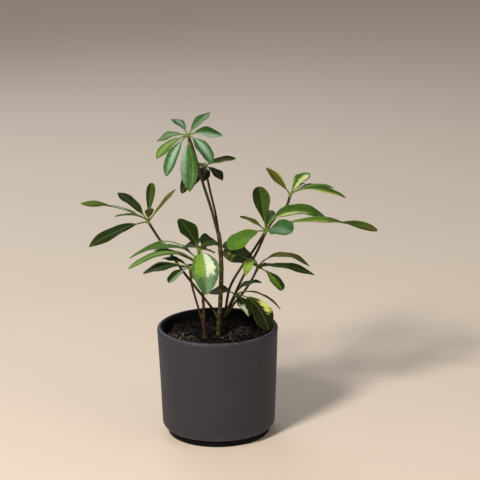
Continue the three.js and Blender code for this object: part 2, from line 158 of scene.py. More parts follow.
PAINTS = {
    "mid": paint("mid"),
    "dark": paint("dark"),
    "fresh": paint("fresh"),
    "olive": paint("olive", dry=0.4),
    "brown": paint("brown", dry=0.8),
    "brown_rim": paint("brown", pale=(0.72, 1.3, 0.6)),
    "mid_rim": paint("olive", pale=(0.7, 1.3, 0.5)),
    "shade": paint("shade"),
    "soft_right": paint("dark", fresh=(0.1, 1.3, 0.12)),
    # A painted highlight: a cream streak where light glints on the glossy blade
    "highlight_streak": paint("mid", pale=(0.0, 0.5, 0.85), tint="cream", reach=(1.5, 0.2, 0.5)),
    "dark_rim": paint("dark", pale=(0.8, 1.3, 0.7)),
    "blue": paint("blue", sheen=(0.15, 0.85, 0.4)),
    "blue_low": paint("blue", sheen=(0.35, 0.95, 0.25)),
    # Painted sheen: the mint bands on these blue leaflets are whitish reflections painted into the colour
    "blue_sheen_edge": paint("blue", pale=(0.35, 1.3, 0.7), tint="mint", sheen=(0.4, 1.1, 0.6)),
    "blue_half": paint("blue", fresh=(-0.6, -0.35, 0.35), sheen=(0.75, 0.7, 0.75)),
    "blue_sheen_streak": paint("blue", pale=(-0.2, 0.1, 0.45), tint="mint", reach=(1.5, -1, 0.6),
                         sheen=(-0.1, 0.8, 0.9)),
    "veined": paint("mid", sheen=(0.2, 0.9, 0.3)),
    "lime": paint("fresh", fresh=(-1.3, 0.6, 0.15), pale=(-0.2, 0.5, 0.1), sheen=(0.2, 0.9, 0.2)),
    "lime_all": paint("fresh", fresh=(-1.3, 1.3, 0.75), pale=(-0.6, 0.3, 0.2), dry=0.5),
    "light_rib": paint("mid", pale=(-0.12, 0.35, 0.8), tint="cream", reach=(1.5, -1, 0.5)),
    "streak": paint("mid", pale=(0.2, 0.75, 0.85), tint="cream", reach=(1.5, 0.02, 0.45)),
    "light_left": paint("dark", pale=(-1.3, -0.05, 0.5), tint="mint"),
    "light_middle": paint("dark", fresh=(-0.25, 0.8, 0.5), reach=(0.95, -1, 1.5)),
    # Painted shade with a painted highlight: a shade-green leaflet lighter near its tip where light falls on
    # one edge
    "shade_with_lit_tip": paint("shade", pale=(-1.3, 0.2, 0.45), reach=(1.5, 0.62, 1.2)),
    "big": paint("sea", fresh=(-0.15, 0.8, 1.0), pale=(-0.68, -0.08, 1.0), tint="cream",
                 reach=(0.6, -1, 0.62), sheen=(-0.3, 1.4, 0.3)),
    "cream_right": paint("mid", fresh=(-1.3, -0.75, 0.9), pale=(-0.2, 0.75, 0.95), tint="butter",
                         reach=(0.5, 0.05, 0.85)),
    "cream_edge": paint("mid", fresh=(0.1, 0.5, 0.3), pale=(0.35, 0.85, 0.75), tint="butter",
                        reach=(0.8, 0.02, 0.65)),
    "lime_edge": paint("mid", fresh=(0.0, 1.3, 0.5), pale=(0.55, 1.3, 0.85), dry=0.5),
    "long": paint("mid", fresh=(-1.3, 1.3, 0.3), pale=(0.2, 0.8, 0.6), reach=(0.5, -1, 0.5), dry=0.6),
    # Painted shade with painted light: shade-green leaflets, one with a lit lime band along its edge, one with
    # a painted white highlight
    "patch": paint("shade", fresh=(-1.3, -0.4, 0.2), pale=(-1.3, -0.45, 1.0), reach=(0.6, 0.32, 0.62)),
    "shade_with_highlight": paint("shade", pale=(0.0, 0.9, 1.0), tint="cream", reach=(1.5, 0.56, 0.97)),
}

# name, hub, then each leaflet's bearing, rise, length, width, bow, roll and paint, and where they aren't the
# usual ones its twist, skew and fullness
LEAVES = [
    ("leaf_top", (-28, -15, 331), [
        (121, 20, 35, 11, 0.12, 0, "blue", 0, 1.1),
        (56, 23, 45, 13, 0.05, 0, "blue_low", 0, 1.05, 0.85),
        (20, -5, 38, 15, 0.1, 32, "blue_sheen_edge", 0, 1.15),
        (309, -31, 45, 18, 0.12, 0, "blue_sheen_streak", 0, 1.2),
        (272, -47, 66, 18, 0.12, 0, "blue_half"),
        (236, -41, 53, 15, 0.12, 0, "blue_sheen_streak"),
        (201, -31, 41, 13, 0.1, -20, "lime"),
        (155, -14, 37, 14, 0.1, -24, "veined"),
    ]),
    ("leaf_top_back", (-11, 20, 290), [
        (25, 7, 37, 10, 0.06, 25, "brown_rim", 0, 1.1),
        (319, -26, 27, 14, 0.1, 0, "shade", 0, 1.2),
        (268, -22, 27, 13, 0.1, 0, "shade", 0, 1.4),
        (236, -38, 27, 11, 0.1, 0, "shade"),
        (199, -46, 38, 16, 0.1, -25, "shade"),
        (150, -20, 30, 11, 0.1, 0, "dark"),
        (100, -14, 32, 11, 0.1, 0, "mid"),
    ]),
    ("leaf_left", (-72.5, 20, 229.5), [
        (174, 15, 75, 10, 0.09, -8, "highlight_streak", 140, 1.05, 0.6),
        (204, 16, 39, 11, 0.13, 8, "light_rib"),
        (139, 30, 51, 17, 0.06, 0, "dark", 0, 1.3, 0.8),
        (83, 49, 47, 10, 0.04, 0, "soft_right", 0, 1.9, 0.5),
        (34, 41, 47, 7, 0.02, 0, "olive"),
        (283, 52, 24, 10, 0.1, 0, "olive"),
        (197, -18, 69, 17, 0.06, -25, "dark", 0, 1.2),
    ]),
    ("leaf_mid_left", (-18.7, -15, 208), [
        (130, 41, 42, 22, 0.05, 0, "dark", 0, 1.05, 0.6),
        (58, 2, 34, 20, 0.12, 30, "soft_right", 0, 1.15, 0.6),
        (283, -50, 52, 29, 0.3, 0, "big", 0, 0.95),
        (131, -3, 24, 14, 0.1, -20, "dark"),
        (100, 2, 37, 14, 0.12, 0, "dark"),
        (40, -20, 23, 10, 0.08, 0, "mid"),
        (84, -16, 36, 13, 0.1, 0, "brown"),
    ]),
    ("leaf_inner_left", (-17, 2, 182), [
        (185, 11, 77, 16, 0.27, -10, "streak", 0, 0.75, 0.7),
        (197, 5.5, 80, 13, 0.22, -10, "lime"),
        (167, 19, 54, 13, 0.12, 0, "dark"),
        (112, -12, 36, 13, 0.1, 0, "dark"),
        (40, -12, 33, 13, 0.1, 0, "mid"),
        (318, -30, 24, 10, 0.1, 0, "mid"),
    ]),
    ("leaf_lower_left", (-28.5, -8, 186), [
        (185, -5, 50, 16, 0.1, -14, "dark_rim", 0, 1.1),
        (223, -18, 32, 14, 0.1, 0, "light_left", 0, 1.6, 0.6),
        (105, -15, 28, 12, 0.05, 0, "dark"),
        (150, 10, 34, 13, 0.1, 0, "dark"),
        (290, -20, 24, 10, 0.1, 0, "mid"),
    ]),
    ("leaf_right", (52.7, -5, 224), [
        (105, 59, 50, 19, 0.04, 0, "soft_right", 0, 1.9, 0.5),
        (150, 22, 34, 10, 0.08, 0, "olive"),
        (212, -15, 48, 22, 0.12, -20, "fresh", 0, 1.6, 0.55),
        (305, 11, 46, 24, 0.1, 30, "blue_low", 0, 1.15, 0.5),
        (12, 10, 66, 20, 0.24, 22, "cream_edge", 0, 1.05),
        (80, 25, 35, 15, 0.1, 0, "fresh"),
        (355, 1, 118, 18, 0.1, 16, "long", -95, 1.45, 0.6),
    ]),
    ("leaf_upper_right", (79.5, 15, 258.5), [
        (140, 38, 41, 11, 0.03, -15, "mid_rim", 0, 1.1),
        (48, 32, 35, 17, 0.06, 0, "cream_right", 0, 1.6, 0.5),
        (0, -4, 59, 14, 0.14, 12, "lime_edge"),
        (24, 2, 52, 14, 0.12, 0, "lime"),
        (66, 6, 38, 12, 0.1, 0, "mid"),
    ]),
    ("leaf_mid_right", (44, 5, 181), [
        (8, -1, 56, 16, 0.24, 8, "olive"),
        (355, -7, 61, 15, 0.09, 12, "dark", 0, 1.05),
        (316, -28, 39, 16, 0.12, 0, "light_middle", 0, 2.3, 0.5),
        (153, 17, 44, 22, 0.1, -38, "shade_with_lit_tip", 0, 1.1, 0.55),
        (142, 23, 50, 17, 0.1, -30, "shade", 0, 1.9, 0.5),
        (243, 0, 31, 11, 0.4, 0, "lime_all"),
        (85, -17, 38, 13, 0.1, 0, "dark"),
        (48, -12, 36, 13, 0.1, 0, "dark"),
    ]),
    ("leaf_lower_right", (20, -12, 156), [
        (353, -17, 50, 12, 0.2, -15, "brown"),
        (333, -42, 51, 23, 0.2, 30, "patch", 0, 1.5, 0.6),
        (297, -28, 33, 21, 0.15, -18, "shade_with_highlight", 0, 1.0, 0.7),
        (15, 22, 31, 14, 0.2, 0, "dark"),
        (124, -11, 51, 14, 0.08, -35, "dark"),
    ]),
]


# Meshes

def make_piece(name, verts, faces, material, nodes, data):
    """A smooth mesh object from points in millimetres, with named vectors on its points."""
    mesh = bpy.data.meshes.new(name)
    mesh.from_pydata((np.asarray(verts, float) * MM).tolist(), [], faces)
    mesh.validate()
    mesh.polygons.foreach_set("use_smooth", np.ones(len(mesh.polygons), bool))
    for key, values in data.items():
        layer = mesh.attributes.new(key, "FLOAT_VECTOR", "POINT")
        layer.data.foreach_set("vector", np.asarray(values, np.float32).ravel())
    mesh.materials.append(material)
    piece = bpy.data.objects.new(name, mesh)
    bpy.context.scene.collection.objects.link(piece)
    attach(piece, "root")
    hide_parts(*nodes)
    return piece


class Mesh:
    """Gathers the points, faces and point data of a piece."""

    def __init__(self):
        self.verts, self.faces, self.data = [], [], {}

    def add(self, verts, faces, **data):
        start = len(self.verts)
        self.verts.extend(np.asarray(verts, float).tolist())
        self.faces.extend([tuple(start + i for i in face) for face in faces])
        for key, values in data.items():
            rows = np.broadcast_to(np.asarray(values, float), (len(verts), 3))
            self.data.setdefault(key, []).extend(rows.tolist())

    def piece(self, name, material, slot, nodes):
        return make_piece(name, self.verts, self.faces, material, nodes, self.data)


def ring_faces(rows, around):
    """Quads between rings of points, and a fan over each end."""
    faces = []
    for i in range(rows - 1):
        for j in range(around):
            k = (j + 1) % around
            a, b = i * around + j, i * around + k
            faces.append((a, b, b + around, a + around))
    faces.append(tuple(range(around - 1, -1, -1)))
    faces.append(tuple(range((rows - 1) * around, rows * around)))
    return faces


def smooth_route(points, spacing):
    """Points at even steps on a centripetal Catmull-Rom curve."""
    points = [np.array(p, float) for p in points]
    ends = [2 * points[0] - points[1], *points, 2 * points[-1] - points[-2]]
    dense = []
    for p0, p1, p2, p3 in zip(ends, ends[1:], ends[2:], ends[3:]):
        t0 = 0.0
        t1 = t0 + math.sqrt(np.linalg.norm(p1 - p0))
        t2 = t1 + math.sqrt(np.linalg.norm(p2 - p1))
        t3 = t2 + math.sqrt(np.linalg.norm(p3 - p2))
        for t in np.linspace(t1, t2, 24, endpoint=False):
            a1 = (t1 - t) / (t1 - t0) * p0 + (t - t0) / (t1 - t0) * p1
            a2 = (t2 - t) / (t2 - t1) * p1 + (t - t1) / (t2 - t1) * p2
            a3 = (t3 - t) / (t3 - t2) * p2 + (t - t2) / (t3 - t2) * p3
            b1 = (t2 - t) / (t2 - t0) * a1 + (t - t0) / (t2 - t0) * a2
            b2 = (t3 - t) / (t3 - t1) * a2 + (t - t1) / (t3 - t1) * a3
            dense.append((t2 - t) / (t2 - t1) * b1 + (t - t1) / (t2 - t1) * b2)
    dense = np.array([*dense, points[-1]])
    along = np.concatenate([[0], np.cumsum(np.linalg.norm(np.diff(dense, axis=0), axis=1))])
    even = np.linspace(0, along[-1], max(3, round(along[-1] / spacing) + 1))
    return np.stack([np.interp(even, along, dense[:, i]) for i in range(3)], 1), even


def tube(route, radii, sides):
    """Rings of points round a route, without twist."""
    tangents = np.gradient(route, axis=0)
    tangents /= np.linalg.norm(tangents, axis=1)[:, None]
    first = np.cross(tangents[0], (0, 1, 0))
    side = first / np.linalg.norm(first)
    angles = np.linspace(0, 2 * math.pi, sides, endpoint=False)
    rings = []
    for centre, tangent, radius in zip(route, tangents, radii):
        side = side - tangent * side.dot(tangent)
        side /= np.linalg.norm(side)
        other = np.cross(tangent, side)
        rings.append(centre + radius * (np.cos(angles)[:, None] * side + np.sin(angles)[:, None] * other))
    return np.concatenate(rings), ring_faces(len(route), sides)


def smoothstep(low, high, x):
    t = np.clip((np.asarray(x, float) - low) / (high - low), 0, 1)
    return t * t * (3 - 2 * t)


# Materials

class Shader:
    """Short calls for building a material's nodes."""

    def __init__(self, name):
        self.material = bpy.data.materials.new(name)
        self.material.use_nodes = True
        self.tree = self.material.node_tree
        self.bsdf = next(n for n in self.tree.nodes if n.type == "BSDF_PRINCIPLED")

    def node(self, kind, inputs=(), **settings):
        node = self.tree.nodes.new(kind)
        for key, value in settings.items():
            setattr(node, key, value)
        for key, value in dict(inputs).items():
            self.put(node.inputs[key], value)
        return node

    def put(self, socket, value):
        if isinstance(value, bpy.types.NodeSocket):
            self.tree.links.new(value, socket)
        elif isinstance(value, tuple) and socket.type == "RGBA" and len(value) == 3:
            socket.default_value = (*value, 1)
        else:
            socket.default_value = value

    def math(self, operation, a, b=0.0, clamp=False):
        return self.node("ShaderNodeMath", {0: a, 1: b}, operation=operation, use_clamp=clamp).outputs[0]

    def plus(self, a, b):
        return self.math("ADD", a, b)

    def minus(self, a, b):
        return self.math("SUBTRACT", a, b)

    def times(self, a, b):
        return self.math("MULTIPLY", a, b)

    def vector(self, x, y, z):
        return self.node("ShaderNodeCombineXYZ", {0: x, 1: y, 2: z}).outputs[0]

    def parts(self, name):
        """The three numbers of a named vector on the mesh."""
        vector = self.node("ShaderNodeAttribute", attribute_name=name).outputs["Vector"]
        return self.node("ShaderNodeSeparateXYZ", {0: vector}).outputs

    def colour_of(self, name):
        return self.node("ShaderNodeAttribute", attribute_name=name).outputs["Color"]

    def step(self, value, low, high):
        """0 below low and 1 above high, smooth between them."""
        inputs = {"Value": value, "From Min": low, "From Max": high}
        return self.node("ShaderNodeMapRange", inputs, interpolation_type="SMOOTHSTEP").outputs[0]

    def spread(self, value, low, high):
        """A value from 0 to 1 moved to run from low to high."""
        return self.node("ShaderNodeMapRange", {"Value": value, "To Min": low, "To Max": high}).outputs[0]

    def noise(self, vector, scale, detail=2.0, roughness=0.5):
        inputs = {"Vector": vector, "Scale": scale, "Detail": detail, "Roughness": roughness}
        return self.node("ShaderNodeTexNoise", inputs).outputs[0]

    def mix(self, factor, a, b, blend="MIX"):
        node = self.node("ShaderNodeMix", data_type="RGBA", blend_type=blend)
        self.put(node.inputs[0], factor)
        self.put(node.inputs[6], a)
        self.put(node.inputs[7], b)
        return node.outputs[2]

    def place(self):
        return self.node("ShaderNodeTexCoord").outputs["Object"]

    def bump(self, height, strength, distance):
        inputs = {"Height": height, "Strength": strength, "Distance": distance}
        return self.node("ShaderNodeBump", inputs).outputs[0]

    def finish(self, colour, roughness, normal, **settings):
        self.put(self.bsdf.inputs["Base Color"], colour)
        self.put(self.bsdf.inputs["Roughness"], roughness)
        self.put(self.bsdf.inputs["Normal"], normal)
        for key, value in settings.items():
            self.put(self.bsdf.inputs[key.replace("_", " ")], value)
        return self.material


def leaf_material():
    """A leathery blade: mottled green, jagged bands of lighter colour, some of them painted highlights, a
    painted bluish sheen, pale midrib, side veins and margin.
    """
    s = Shader("umbrella_leaf")
    along, across, under = s.parts("place")
    share, v, seed = s.parts("shape")
    fresh_to, pale_from, pale_to = s.parts("reach")
    dry, ruddy, _ = s.parts("state")
    sheen_at, sheen_to, sheen = s.parts("sheen")
    width = s.math("ABSOLUTE", across)
    slant = s.minus(along, s.times(width, 1.2))
    teeth = s.vector(s.times(slant, 0.5), s.times(across, 0.1), s.times(seed, 40))
    ragged = s.minus(s.noise(teeth, 1.3, 3.0, 0.6), 0.5)
    spot = s.vector(s.times(along, 0.16), s.times(across, 0.2), s.times(seed, 90))
    cloud = s.minus(s.noise(spot, 1.5, 4.0, 0.65), 0.5)
    moved = s.plus(v, s.plus(s.times(ragged, 0.8), s.times(cloud, 0.5)))
    reached = s.plus(share, s.times(ragged, 0.5))

    def after(value, start, blur):
        return s.step(s.minus(value, start), -blur, blur)

    def band(name, start_share, end_share):
        start, end, strength = s.parts(name)
        across_it = s.minus(after(moved, start, 0.05), after(moved, end, 0.05))
        along_it = s.minus(after(reached, start_share, 0.06), after(reached, end_share, 0.06))
        return s.times(s.math("MULTIPLY", across_it, along_it, clamp=True), strength)

    tone = s.spread(s.plus(cloud, 0.5), 0.6, 1.4)
    colour = s.mix(1.0, s.colour_of("base"), s.vector(tone, tone, tone), "MULTIPLY")
    lighter = s.times(s.step(s.noise(spot, 0.55, 2.0), 0.5, 0.64), 0.6)
    colour = s.mix(lighter, colour, s.mix(1.0, colour, (1.5, 1.45, 1.3), "MULTIPLY"))
    fresh = s.mix(s.plus(cloud, 0.5), (0.11, 0.25, 0.015), (0.29, 0.43, 0.05))
    colour = s.mix(band("fresh", -1.0, fresh_to), colour, fresh)
    # Painted sheen: a soft, streaked bluish-white reflection painted into the colour towards the blade's base;
    # it also lightens the veins and raises the gloss
    off = s.math("ABSOLUTE", s.minus(s.plus(v, s.times(cloud, 0.6)), sheen_at))
    far = s.plus(share, s.times(ragged, 0.6))
    sheen_mask = s.times(after(sheen_to, far, 0.35), s.minus(1.0, s.step(off, 0.0, 0.75)))
    comb = s.vector(s.times(slant, 0.9), s.times(across, 0.12), seed)
    sheen_mask = s.times(sheen_mask, s.spread(s.noise(comb, 2.2, 3.0, 0.7), 0.2, 1.6))
    colour = s.mix(s.times(sheen_mask, sheen), colour, (0.36, 0.54, 0.42))
    colour = s.mix(band("pale", pale_from, pale_to), colour, s.colour_of("paint"))

    blade = s.step(share, 0.0, 0.06)
    wander = s.times(s.noise(spot, 1.2), 0.5)
    beat = s.math("FRACT", s.plus(s.times(slant, 0.26), wander))
    ridge = s.math("ABSOLUTE", s.minus(beat, 0.5))
    vein = s.times(s.minus(1.0, s.step(ridge, 0.02, 0.09)), blade)
    rib = s.minus(1.0, s.step(width, 0.2, 0.5))
    edge = s.times(s.step(s.math("ABSOLUTE", v), 0.93, 1.0), blade)
    veined = s.times(vein, s.plus(s.times(sheen_mask, 0.25), 0.13))
    colour = s.mix(veined, colour, (0.20, 0.33, 0.08))
    colour = s.mix(s.times(rib, 0.36), colour, (0.22, 0.31, 0.07))
    colour = s.mix(s.times(edge, 0.3), colour, (0.22, 0.26, 0.05))
    below = s.mix(0.45, colour, (0.085, 0.12, 0.03))
    colour = s.mix(under, colour, below)
    withered = s.times(s.step(s.plus(reached, s.times(cloud, 0.3)), 0.84, 0.97), dry)
    colour = s.mix(withered, colour, (0.11, 0.055, 0.018))
    stalk = s.mix(s.noise(spot, 3.0, 3.0), (0.09, 0.14, 0.022), (0.20, 0.28, 0.055))
    stalk = s.mix(ruddy, stalk, (0.085, 0.045, 0.018))
    colour = s.mix(s.minus(1.0, s.step(share, -0.02, 0.08)), colour, stalk)

    fine = s.noise(s.place(), 900.0, 3.0)
    height = s.plus(s.times(fine, 0.12), s.times(vein, -0.35))
    height = s.plus(height, s.times(rib, -0.45))
    rough = s.plus(s.spread(s.noise(spot, 2.5, 3.0), 0.36, 0.52), s.times(under, 0.2))
    shine = s.plus(s.times(s.times(sheen_mask, sheen), 0.3), 0.08)
    return s.finish(colour, rough, s.bump(height, 0.5, 0.0005), Specular_IOR_Level=shine)


def stem_material():
    """Green to brown bark with streaks, ring scars and pale pores."""
    s = Shader("umbrella_stem")
    _, woody, ring = s.parts("bark")
    spot = s.place()
    streak = s.node("ShaderNodeMapping", {"Vector": spot, "Scale": (900.0, 900.0, 120.0)}).outputs[0]
    fibre = s.noise(streak, 1.0, 3.0)
    patch = s.noise(spot, 130.0, 3.0)
    green = s.mix(fibre, (0.010, 0.011, 0.002), (0.066, 0.058, 0.009))
    brown = s.mix(fibre, (0.018, 0.009, 0.004), (0.072, 0.036, 0.014))
    mixed = s.plus(s.times(s.minus(patch, 0.5), 1.5), woody)
    colour = s.mix(s.step(mixed, 0.1, 0.9), green, brown)
    pores = s.node("ShaderNodeTexVoronoi", {"Vector": streak, "Scale": 0.45}).outputs["Distance"]
    dot = s.times(s.minus(1.0, s.step(pores, 0.12, 0.22)), 0.45)
    colour = s.mix(dot, colour, (0.30, 0.27, 0.15))
    colour = s.mix(s.times(ring, 0.5), colour, (0.24, 0.22, 0.10))
    height = s.plus(s.times(fibre, 0.5), s.times(dot, 0.8))
    return s.finish(colour, s.spread(patch, 0.5, 0.75), s.bump(height, 0.4, 0.0004), Specular_IOR_Level=0.2)


def pot_material():
    """Unglazed charcoal ceramic with fine grain, faint turning marks and abraded edges; the lip is lighter from
    wearing and as a painted highlight, and the foot and inner wall are near black as painted shade.
    """
    s = Shader("charcoal_ceramic")
    spot = s.place()
    worn_and_lit, foot, inside_shade = s.parts("wear_and_painted_light")
    cloud = s.noise(spot, 28.0, 4.0, 0.6)
    grain = s.noise(spot, 1400.0, 3.0, 0.6)
    flat = s.node("ShaderNodeMapping", {"Vector": spot, "Scale": (30.0, 30.0, 900.0)}).outputs[0]
    marks = s.noise(flat, 1.0, 2.0)
    colour = s.mix(cloud, (0.017, 0.016, 0.026), (0.029, 0.027, 0.041))
    speck = s.times(s.step(s.noise(spot, 700.0, 2.0), 0.60, 0.70), 0.15)
    colour = s.mix(speck, colour, (0.10, 0.10, 0.115))
    # Abraded edges lighter; on the lip this is also a painted highlight
    rubbed_and_lit = s.times(worn_and_lit, s.step(s.noise(spot, 160.0, 4.0, 0.65), 0.35, 0.7))
    colour = s.mix(s.times(rubbed_and_lit, 0.6), colour, (0.13, 0.13, 0.15))
    # Painted shade: the foot and the inner wall near black and matte, as if in shadow
    colour = s.mix(foot, colour, (0.003, 0.003, 0.004))
    colour = s.mix(s.times(inside_shade, 0.9), colour, (0.003, 0.003, 0.003))
    gloss = s.minus(0.4, s.times(s.math("MAXIMUM", inside_shade, foot), 0.3))
    height = s.plus(s.times(grain, 0.5), s.times(marks, 0.35))
    bump = s.bump(height, 0.35, 0.0003)
    return s.finish(colour, s.spread(cloud, 0.52, 0.68), bump, Specular_IOR_Level=gloss)


def soil_material():
    """Dark potting soil with lighter crumbs; the crumbs heaped on some clumps, and the surface round them, are
    lighter as painted light.
    """
    s = Shader("potting_soil")
    spot = s.place()
    tone, _, _ = s.parts("tone")
    coarse = s.noise(spot, 260.0, 6.0, 0.7)
    fine = s.noise(spot, 1500.0, 4.0, 0.7)
    dark = s.mix(coarse, (0.0012, 0.0009, 0.0008), (0.0065, 0.0046, 0.0038))
    light = s.mix(fine, (0.065, 0.048, 0.045), (0.24, 0.185, 0.175))
    colour = s.mix(tone, dark, light)
    height = s.plus(s.times(coarse, 0.7), s.times(fine, 0.5))
    return s.finish(colour, 0.95, s.bump(height, 0.8, 0.001), Specular_IOR_Level=0.05)


# Pot

def pot_radius(z):
    share = (z - BODY_BASE_HEIGHT) / (POT_HEIGHT - BODY_BASE_HEIGHT)
    return BODY_BASE_RADIUS + (RIM_RADIUS - BODY_BASE_RADIUS) * share


def arc(x, z, radius, start, end, count):
    return [(x + radius * math.cos(math.radians(a)), z + radius * math.sin(math.radians(a)))
            for a in np.linspace(start, end, count + 1)]


def pot_profile():
    """Radius, height and wearing of each ring, from the middle of the foot round to the middle of the floor; on
    the lip the wearing also stands for a painted highlight.
    """
    edge = BODY_BASE_HEIGHT - FOOT_HEIGHT
    lip = POT_HEIGHT - LIP_RADIUS
    corner = pot_radius(FLOOR_THICKNESS) - WALL - INNER_CORNER
    points = [(0.0, 0.0), (FOOT_RADIUS - 12, 0.0), (FOOT_RADIUS - FOOT_ROUNDING, 0.0)]
    points += arc(FOOT_RADIUS - FOOT_ROUNDING, FOOT_ROUNDING, FOOT_ROUNDING, -60, 0, 3)
    points += [(FOOT_RADIUS, FOOT_HEIGHT - FOOT_SHADOW - 1), (FOOT_RADIUS, FOOT_HEIGHT - FOOT_SHADOW)]
    points += arc(BODY_BASE_RADIUS - edge, BODY_BASE_HEIGHT, edge, EDGE_START, 0, 10)
    points += [(pot_radius(z), z) for z in np.linspace(BODY_BASE_HEIGHT + 4, lip - 4, 22)]
    points += arc(RIM_RADIUS - LIP_RADIUS, lip, LIP_RADIUS, 0, 180, 16)
    points += [(pot_radius(z) - WALL, z) for z in np.linspace(lip - 4, FLOOR_THICKNESS + 8, 10)]
    points += arc(corner, FLOOR_THICKNESS + INNER_CORNER, INNER_CORNER, 0, -90, 5)
    points += [(0.0, FLOOR_THICKNESS)]
    # Lighter on the lip, from wearing and as a painted highlight, and on the abraded bottom edge
    wear_and_painted_light = [smoothstep(lip + 1, POT_HEIGHT, z) + 0.8 * smoothstep(14, 7, z) * (x > FOOT_RADIUS)
            for x, z in points]
    return points, wear_and_painted_light


def build_pot(material):
    sides = POT_SIDES
    points, wear_and_painted_light = pot_profile()
    angles = np.linspace(0, 2 * math.pi, sides, endpoint=False)
    verts, shades, rings = [], [], []
    for (x, z), worn_and_lit in zip(points, wear_and_painted_light):
        if x == 0:
            rings.append([len(verts)])
            verts.append((0, 0, z))
            shades.append(worn_and_lit)
            continue
        rings.append(range(len(verts), len(verts) + sides))
        hand = 0.12 * np.sin(3 * angles + z * 0.03) + 0.06 * np.sin(7 * angles - z * 0.07)
        r = x + hand * smoothstep(0, 30, z) * smoothstep(POT_HEIGHT, POT_HEIGHT - 12, z)
        verts.extend(np.stack([r * np.cos(angles), r * np.sin(angles), np.full(sides, z)], 1).tolist())
        shades.extend([worn_and_lit] * sides)
    faces = []
    for low, high in zip(rings, rings[1:]):
        for j in range(sides):
            k = (j + 1) % sides
            if len(low) == 1:
                faces.append((low[0], high[k], high[j]))
            elif len(high) == 1:
                faces.append((low[j], low[k], high[0]))
            else:
                faces.append((low[j], low[k], high[k], high[j]))
    wear_and_light_data = np.zeros((len(verts), 3))
    wear_and_light_data[:, 0] = shades
    # Masks for painted shade: the foot, and the inner wall above the floor
    wear_and_light_data[:, 1] = [z < FOOT_HEIGHT - FOOT_SHADOW / 2 for _, _, z in verts]
    wear_and_light_data[:, 2] = [z >= FLOOR_THICKNESS and math.hypot(x, y) < pot_radius(z) - WALL / 2
                       for x, y, z in verts]
    return make_piece("ceramic_pot", verts, faces, material, ["pot"], {"wear_and_painted_light": wear_and_light_data})


# Soil

def soil_height(x, y):
    ripple = 0.9 * np.sin(0.31 * x + 0.6) * np.cos(0.27 * y)
    grain = 0.5 * np.sin(0.71 * x - 0.43 * y)
    clumps = sum(h * np.exp(-((x - cx) ** 2 + (y - cy) ** 2) / (r * r)) for cx, cy, r, h in SOIL_CLUMPS)
    return SOIL_LEVEL + ripple + grain + clumps


def value_noise(x, y, cell, grid):
    """Smooth random heights from 0 to 1 on a square grid."""
    size = grid.shape[0]
    gx, gy = x / cell, y / cell
    ix, iy = np.floor(gx).astype(int), np.floor(gy).astype(int)
    fx, fy = gx - ix, gy - iy
    fx, fy = fx * fx * (3 - 2 * fx), fy * fy * (3 - 2 * fy)

    def at(i, j):
        return grid[(ix + i) % size, (iy + j) % size]

    return (at(0, 0) * (1 - fx) + at(1, 0) * fx) * (1 - fy) + (at(0, 1) * (1 - fx) + at(1, 1) * fx) * fy


def crumb(rng, centre, size, squash):
    """A small irregular lump."""
    t = (1 + math.sqrt(5)) / 2
    ico = np.array([(-1, t, 0), (1, t, 0), (-1, -t, 0), (1, -t, 0), (0, -1, t), (0, 1, t),
                    (0, -1, -t), (0, 1, -t), (t, 0, -1), (t, 0, 1), (-t, 0, -1), (-t, 0, 1)], float)
    ico /= np.linalg.norm(ico[0])
    faces = [(0, 11, 5), (0, 5, 1), (0, 1, 7), (0, 7, 10), (0, 10, 11), (1, 5, 9), (5, 11, 4), (11, 10, 2),
             (10, 7, 6), (7, 1, 8), (3, 9, 4), (3, 4, 2), (3, 2, 6), (3, 6, 8), (3, 8, 9), (4, 9, 5),
             (2, 4, 11), (6, 2, 10), (8, 6, 7), (9, 8, 1)]
    verts = ico * rng.uniform(0.65, 1.2, (12, 1)) * size * np.array([1, rng.uniform(0.6, 1), squash])
    turn = Matrix.Rotation(rng.uniform(0, 6.28), 3, "Z") @ Matrix.Rotation(rng.uniform(-0.6, 0.6), 3, "X")
    return verts @ np.array(turn).T + centre, faces


def add_crumbs(mesh, rng, reach):
    """Lumps on the soil, some heaped on its clumps and the others scattered."""
    for _ in range(CRUMB_TRIES):
        pick = rng.integers(len(SOIL_CLUMPS))
        clump = SOIL_CLUMPS[pick]
        loose = rng.random() < LOOSE_SHARE
        far, turn = reach * math.sqrt(rng.random()) * 0.985, rng.uniform(0, 2 * math.pi)
        cx = far * math.cos(turn) if loose else clump[0] + rng.normal(0, clump[2] * 0.6)
        cy = far * math.sin(turn) if loose else clump[1] + rng.normal(0, clump[2] * 0.6)
        size = min(CRUMB_LARGEST, 0.45 + rng.exponential(0.45))
        if math.hypot(cx, cy) > reach - size:
            continue
        height = float(soil_height(np.array(cx), np.array(cy))) + 0.25 * size
        lump, lump_faces = crumb(rng, (cx, cy, height), size, rng.uniform(0.5, 0.9))
        # Painted light: crumbs heaped on the lit clumps are much lighter, the rest only a little
        tone_at = (1.0 if pick in LIT_CLUMPS and not loose else 0.18) * rng.random() ** 2
        mesh.add(lump, lump_faces, tone=(tone_at, 0, 0))


